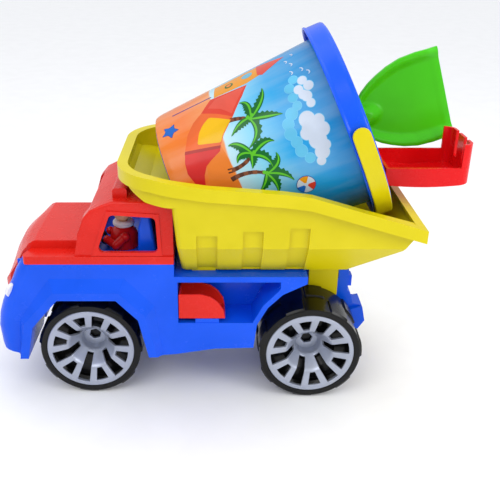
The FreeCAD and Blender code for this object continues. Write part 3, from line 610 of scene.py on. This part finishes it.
def palm(trunk, leaves, nuts):
    """Outlines of one palm with their colours."""
    line = bow(*trunk)
    out = [(ribbon(line, [(1.9 - 0.8 * k / 8, 1.9 - 0.8 * k / 8) for k in range(9)]), 1, "brown")]
    out += [(ribbon(line[k:k + 2], [(1.5, 1.5), (1.5, 1.5)]), 2, "tan") for k in range(1, 8, 2)]
    for middle, end in leaves:
        leaf, rib = frond(trunk[2], middle, end, 4.6)
        out += [(leaf, 3, "leaf"), (rib, 4, "lime")]
    return out + [(disc(trunk[2][0] + a, trunk[2][1] + b, 1.5, 10), 5, "lime") for a, b in nuts]


def striped_tent():
    """A beach tent of plain panels with a yellow doorway."""
    return [([(82, -58), (51, -62), (41, -50), (53, -42), (64, -33), (76, -48)], 1, "coral"),
            ([(80, -57), (55, -59), (47, -52), (57, -45), (64, -36)], 2, "rose"),
            ([(41, -50), (33, -44), (26, -35), (20, -22), (35, -18), (48, -15), (53, -22), (64, -33),
              (53, -42)], 1, "orange"),
            (rounded([(46, -42), (40, -38), (35, -32), (31, -23), (49, -17), (52, -22), (57, -27),
                      (62, -31), (52, -38)], 2.0), 2, "yellow"),
            ([(20, -22), (48, -15), (46, -11), (37, -7), (32, -4), (28, 2), (25, 12), (19, 6), (16, -4),
              (17, -13)], 2, "red"),
            ([(20, -22), (48, -15), (47, -13), (19, -19.5)], 3, "maroon"),
            ([(48, -15), (46, -11), (37, -7), (32, -4), (29, 12), (30, 30), (51.5, 30), (50, -3)], 1,
             "dune")]


def turret():
    """The top of a sandcastle tower behind the tent."""
    return [([(94, -82), (95, -63), (82, -60), (54, -62), (56, -82)], 1, "amber"),
            ([(93, -84), (116, -73), (96, -61), (92, -64)], 2, "coral"),
            (disc(84, -72, 4.6), 3, "sky"), (disc(68, -70, 3.6), 3, "leaf"), (disc(68, -70, 2.2), 4, "dune"),
            ([(17, -67), (52, -66), (52, -65), (17, -65.8)], 2, "violet")]


def clouds():
    """Two heaps of pale discs in front of a fainter bank."""
    near = [(122, -36, 3.6), (125, -30, 3.8), (117, -30, 3.6), (121, -23, 4.0), (122, -17, 3.2),
            (119, -25, 3.6), (115, -7, 6.0), (123, -4, 4.0), (116, 0, 7.4), (123, 3, 5.2), (117, 9, 6.6),
            (117, 18, 5.4), (111, 2, 4.6), (114, 24, 3.4), (121, 14, 3.8), (120, -1, 4.0)]
    far = [(116, -40, 3.4), (111, -34, 3.6), (111, -26, 3.4), (112, -19, 3.2), (106, -15, 4.4),
           (101, -9, 4.2), (100, -2, 4.4), (102, 5, 4.0), (103, 12, 4.4), (107, 19, 3.6)]
    out = [(disc(h, v, r + 0.45), 1, "haze") for h, v, r in far]
    out += [(disc(h, v, r), 2, "mist") for h, v, r in far]
    return out + [(disc(h, v, r + 0.5), 3, "haze") for h, v, r in near] + \
        [(disc(h, v, r), 4, "cloud") for h, v, r in near]


def star(h, v, size):
    """A plain star with five rounded points."""
    points = []
    for k in range(10):
        reach = size * (1.0 if k % 2 == 0 else 0.5)
        points.append((h + reach * math.cos(k * math.pi / 5 + 0.3),
                       v + reach * math.sin(k * math.pi / 5 + 0.3)))
    return rounded(points, 1.6, 3)


def beach_ball(h, v, size):
    """A ball with three coloured panels."""
    out = [(disc(h, v, size + 0.4, 36), 5, "violet"), (disc(h, v, size, 36), 6, "cloud")]
    for k, colour in ((0, "coral"), (2, "blue"), (4, "amber")):
        rim = [(h + size * math.cos((k + j / 6) * math.pi / 3),
                v + size * math.sin((k + j / 6) * math.pi / 3)) for j in range(7)]
        out.append(([(h, v)] + rim, 7, colour))
    return out + [(disc(h, v, 1.6, 12), 8, "cloud")]


def gulls():
    """Birds far off, each two short strokes."""
    out = []
    for h, v in ((122, -69), (119, -56), (116, -62), (125, -46), (117, -47), (129, -41)):
        line = bow((h - 1.2, v - 1.8), (h + 1.5, v - 0.6), (h, v))
        line += bow((h, v), (h + 2.0, v + 0.4), (h - 0.6, v + 2.0))[1:]
        out.append((ribbon(line, [(0.3, 0.3)] * len(line)), 4, "cloud"))
    return out


PRINT_COLOURS = {"brown": (84, 44, 28), "tan": (122, 68, 42), "leaf": (8, 96, 34), "lime": (84, 178, 30),
                 "coral": (204, 58, 38), "rose": (212, 78, 60), "orange": (216, 96, 42),
                 "yellow": (222, 172, 0), "red": (200, 36, 34), "maroon": (160, 40, 34),
                 "dune": (220, 120, 40), "amber": (216, 140, 14), "sky": (96, 168, 196),
                 "violet": (42, 38, 128), "haze": (104, 184, 220), "mist": (90, 176, 212),
                 "cloud": (192, 202, 218), "blue": (20, 98, 190)}


def label_print():
    """The beach picture in plain shapes, once on each half of the bucket."""
    art = striped_tent() + turret() + clouds() + gulls() + beach_ball(97, 38, 7.0)
    art += [(star(13, -47, 8.2), 1, "violet"), (star(13, -47, 7.6), 2, "blue")]
    art += palm([(60, -31), (68, -30), (76, -25)],
                [((92, -36), (92, -46)), ((80, -40), (72, -42)), ((90, -22), (100, -18)),
                 ((68, -26), (58, -18)), ((84, -12), (67, -4))], [(0, 0), (2, -2), (-1.5, -1.8)])
    art += palm([(46, 6), (58, 8), (68, 1)],
                [((60, -13), (53, -12)), ((80, -8), (87, -2)), ((58, -5), (55, 3)), ((68, 4), (64, 11)),
                 ((80, 4), (79, 16))], [(0, 0), (1.8, -1.0)])
    art += palm([(46, 13), (60, 10), (73, 18)],
                [((87, 14), (85, 6)), ((86, 20), (90, 31)), ((72, 26), (61, 31)), ((80, 27), (75, 37))],
                [(0, 0), (-1.6, -1.2)])
    names = list(PRINT_COLOURS)
    bm = bmesh.new()
    for middle in (PRINT_MID, -PRINT_MID):
        for outline, layer, colour in art:
            decal(bm, outline, layer, names.index(colour), middle)
    bmesh.ops.recalc_face_normals(bm, faces=bm.faces)
    mesh = bpy.data.meshes.new("print")
    bm.to_mesh(mesh)
    bm.free()
    inks = [plastic("ink_" + n, PRINT_COLOURS[n], 0.16, vary=0.10, grain=0.04, scuff=0.05) for n in names]
    obj = add_piece("label_print", mesh, "bucket_label", (), world(BUCKET_PLACE), inks)
    finish_mesh(obj)


# ---------------------------------------------------------------- spade and rake

SPADE_DOWN = 14.5
SPADE_Y = 34.0
SPADE_PITCH = 4.9
SPADE_L = 80.6
SPADE_HALF = [(0, 9), (5, 15.5), (11, 22), (18, 27.5), (26, 32), (36, 36.5), (48, 39.8), (62, 40.6),
              (SPADE_L, 39.5)]


def spade_half(u):
    """Half the blade's width at a distance from the bucket's mouth."""
    for (u0, w0), (u1, w1) in zip(SPADE_HALF, SPADE_HALF[1:]):
        if u <= u1:
            return w0 + (w1 - w0) * (u - u0) / (u1 - u0)
    return SPADE_HALF[-1][1]


def spade():
    """Blade dished between three raised sides, with the grip's socket swelling into it."""
    back, rise = SPADE_Y + 4.5, 7.4
    rows, columns = 64, 72
    front, rear = [], []
    for i in range(rows + 1):
        u = SPADE_L * (i / rows) ** 1.15
        half = spade_half(u)
        for j in range(columns + 1):
            v = math.sin(math.pi / 2 * (2 * j / columns - 1))
            x = v * half
            side = half * (1 - abs(v)) * 0.86
            edge = min(side, u * 0.95)
            wall = 1.0 if edge < 2.3 else 1.0 - smooth((edge - 2.3) / 7.5)
            lip = 0.5 * (1 - smooth(side / 1.0))
            fade = 1 - 0.42 * smooth((u - 70) / 10.6)
            bump = max(0.0, 1 - math.hypot(x, max(0.0, u - 6) * 0.6) / 12.5)
            swell = 7.4 * smooth(bump * 1.6)
            height = max(2.2 + (rise - 2.2) * wall * fade - lip, 2.2 + swell)
            crown = 1.1 * smooth((76 - u) / 4) * smooth(edge / 14)
            tuck = 3.4 * (1 - smooth(edge / 6.5)) * fade
            front.append((SPADE_DOWN + x, back - height + crown * 0.5, BUCKET_H + u))
            rear.append((SPADE_DOWN + x * 0.995, back - min(tuck, height - 1.2), BUCKET_H + u))
    width = columns + 1
    faces = []
    base = len(front)
    for i in range(rows):
        for j in range(columns):
            a = i * width + j
            faces.append([a, a + 1, a + width + 1, a + width])
            faces.append([base + a, base + a + width, base + a + width + 1, base + a + 1])
    loop = list(range(width)) + [i * width + columns for i in range(1, rows + 1)]
    loop += [rows * width + j for j in range(columns - 1, -1, -1)]
    loop += [i * width for i in range(rows - 1, 0, -1)]
    for k, a in enumerate(loop):
        b = loop[(k + 1) % len(loop)]
        faces.append([a, b, base + b, base + a])
    turn = Matrix.Translation((SPADE_DOWN, 0, BUCKET_H)) \
        @ Matrix.Rotation(math.radians(SPADE_PITCH), 4, "Y") \
        @ Matrix.Translation((-SPADE_DOWN, 0, -BUCKET_H))
    place = world(BUCKET_PLACE @ turn)
    finish_mesh(add_piece("spade_blade", solid_mesh("blade", front + rear, faces), "spade", ["spade"],
                          place), 50)
    grip = [(0, 33.2), (3.4, 33.9), (5.6, 36.0), (6.8, 40.0), (7.0, 44.0), (6.6, 60), (6.4, 90), (6.6, 120),
            (7.0, 138), (8.0, 144), (8.4, 152), (7.6, 160), (5.2, 164.5), (0, 166.5)]
    finish_mesh(add_piece("spade_grip", solid_mesh("grip", *lathe(grip, 64)), "spade", (),
                          place @ Matrix.Translation(Vector((SPADE_DOWN, SPADE_Y + 1.2, 0)) * MM)), 50)


# ---------------------------------------------------------------- truck

def hood_warp(x, y, z):
    """Bows the hood's nose by drawing its upper corners back, and swells the windscreen's frame."""
    back = smooth((-166.0 - x) / 24.0) * smooth((z - 104.0) / 22.0) * (min(abs(y), 43.0) / 43.0) ** 2
    ahead = 3.5 if abs(y) > 44.5 and x < -160 else 0.0
    bulge = 4.5 * smooth((-104.0 - x) / 14.0) * smooth((z - 146.0) / 16.0) * smooth((190.0 - z) / 14.0)
    return x + 7.5 * back - ahead - (bulge if x > -150 else 0.0), y, z


def flare_warp(x, y, z):
    """Makes the front wheel arches' flares stand out a little further."""
    return x, y + math.copysign(max(0.0, abs(y) - 60.0) * 0.5, y), z


def rake_warp(x, y, z):
    """Curves the lower edge of the rake's tray up towards both ends."""
    return x, y, z + 2.6 * ((x - 150.0) / 38.0) ** 2 * max(0.0, min(1.0, (203.0 - z) / 16.0))


def driver_eyes():
    """Two plain dots on the driver's face, which looks over the steering wheel."""
    for side in (-1, 1):
        dot = [(0, -0.6), (0.9, -0.3), (1.0, 0.1), (0.7, 0.4), (0, 0.5)]
        turn = Matrix.Rotation(math.radians(180 + side * 22), 4, "Z") \
            @ Matrix.Rotation(math.radians(86), 4, "Y")
        place = Matrix.Translation((-97.5, -22.0, 161.6)) @ turn @ Matrix.Translation((0, 0, 7.9))
        name = "driver_eye_near" if side > 0 else "driver_eye_far"
        add_piece(name, solid_mesh("eye", *lathe(dot, 24)), "driver_head", (), world(place),
                  [MATS["black_plastic"]])


def headlights():
    """A plain oval lens on each front corner."""
    bead = [(0, -3), (6.4, -2.4), (7.0, -1.0), (6.9, 0.3), (6.1, 0.9), (5.6, 0.55), (4.0, 1.2), (2.0, 1.6),
            (0, 1.7)]
    for side, name in ((-1, "left"), (1, "right")):
        turn = Matrix.Rotation(math.radians(side * 40), 4, "Z") @ Matrix.Rotation(math.radians(-72), 4, "Y")
        place = Matrix.Translation((-190.6, side * 54.4, 105.0)) @ turn @ Matrix.Diagonal((1.0, 0.7, 1, 1))
        lens = add_piece(f"headlight_{name}", solid_mesh("lens", *lathe(bead, 48)), "chassis", (),
                         world(place), [MATS["white_plastic"]])
        finish_mesh(lens)


wheels()
bucket()
label_print()
bail()
spade()
headlights()
driver_eyes()
refined("cab", 1.3, warp=hood_warp, cuts=[((-185, y, 120), (0, 1, 0)) for y in range(-40, 41, 8)]
        + [((x, 0, 0), (1, 0, 0)) for x in (-170, -182)])
refined("chassis", 0.9, limit=8.0, warp=flare_warp)
refined("rake", 1.1, warp=rake_warp, cuts=[((x, 0, 0), (1, 0, 0)) for x in range(128, 186, 8)])
refined("bed", 1.5, 4, 18.0, angle=26.0)
for name in ("side_tray_left", "side_tray_right", "seat", "dashboard"):
    refined(name)


# ---------------------------------------------------------------- stage, lights and camera

# Brightness of the sky at the horizon and overhead, half the floor's side, and the camera's place and tilt
SKY = (0.62, 1.12)
FLOOR = 6.0
EYE = (-18.56, -569.65, 384.84)
LOOK_DOWN = 25.28


def stage():
    """A plain pale floor."""
    mesh = bpy.data.meshes.new("floor")
    mesh.from_pydata([(-FLOOR, -FLOOR, 0), (FLOOR, -FLOOR, 0), (FLOOR, FLOOR, 0), (-FLOOR, FLOOR, 0)], [],
                     [(0, 1, 2, 3)])
    floor = bpy.data.objects.new("floor", mesh)
    bpy.context.scene.collection.objects.link(floor)
    mesh.materials.append(plastic("pale_floor", (246, 246, 248), 0.7, vary=0.01, grain=0.02))


def area_light(name, place, aim, size, watts):
    """A white rectangular lamp at a place in metres, aimed at a point."""
    data = bpy.data.lights.new(name, "AREA")
    data.shape = "RECTANGLE"
    data.size, data.size_y = size
    data.energy = watts
    lamp = bpy.data.objects.new(name, data)
    lamp.location = place
    lamp.rotation_euler = (Vector(aim) - Vector(place)).to_track_quat("-Z", "Y").to_euler()
    bpy.context.scene.collection.objects.link(lamp)


def studio():
    """Sky that brightens towards the zenith, a key lamp, one overhead and two weak ones at the tail."""
    sky = bpy.data.worlds.new("studio")
    bpy.context.scene.world = sky
    sky.use_nodes = True
    make = node_maker(sky)
    back = sky.node_tree.nodes["Background"]
    facing = make("ShaderNodeTexCoord").outputs["Generated"]
    up = make("ShaderNodeSeparateXYZ", {"Vector": facing}).outputs["Z"]
    shade = make("ShaderNodeMapRange", {"Value": up, "From Min": 0.0, "From Max": 0.9, "To Min": SKY[0],
                                        "To Max": SKY[1]}, interpolation_type="SMOOTHSTEP")
    sky.node_tree.links.new(shade.outputs[0], back.inputs["Strength"])
    back.inputs["Color"].default_value = (0.97, 0.985, 1.0, 1.0)
    area_light("key", (-0.55, -0.85, 1.05), (0, 0, 0.12), (0.8, 0.6), 4)
    area_light("fill", (0.95, -0.85, 0.55), (0, 0, 0.12), (0.5, 0.7), 1.0)
    area_light("top", (0.1, 0.15, 1.4), (0, 0, 0), (1.0, 0.8), 3)
    area_light("tail", (0.52, -0.42, 0.42), (0.12, 0.03, 0.18), (0.25, 0.2), 0.9)
    bpy.context.scene.view_settings.view_transform = "Standard"


def camera():
    """A view of the near side from above, with the picture shifted sideways."""
    data = bpy.data.cameras.new("view")
    data.lens = 50.4
    data.sensor_width = 36.0
    data.shift_x = 0.068
    eye = bpy.data.objects.new("view", data)
    eye.location = (Vector(EYE) + Vector((SHIFT, 0, 0))) * MM
    eye.rotation_euler = (math.radians(90 - LOOK_DOWN), 0, 0)
    bpy.context.scene.collection.objects.link(eye)
    bpy.context.scene.camera = eye


stage()
studio()
camera()
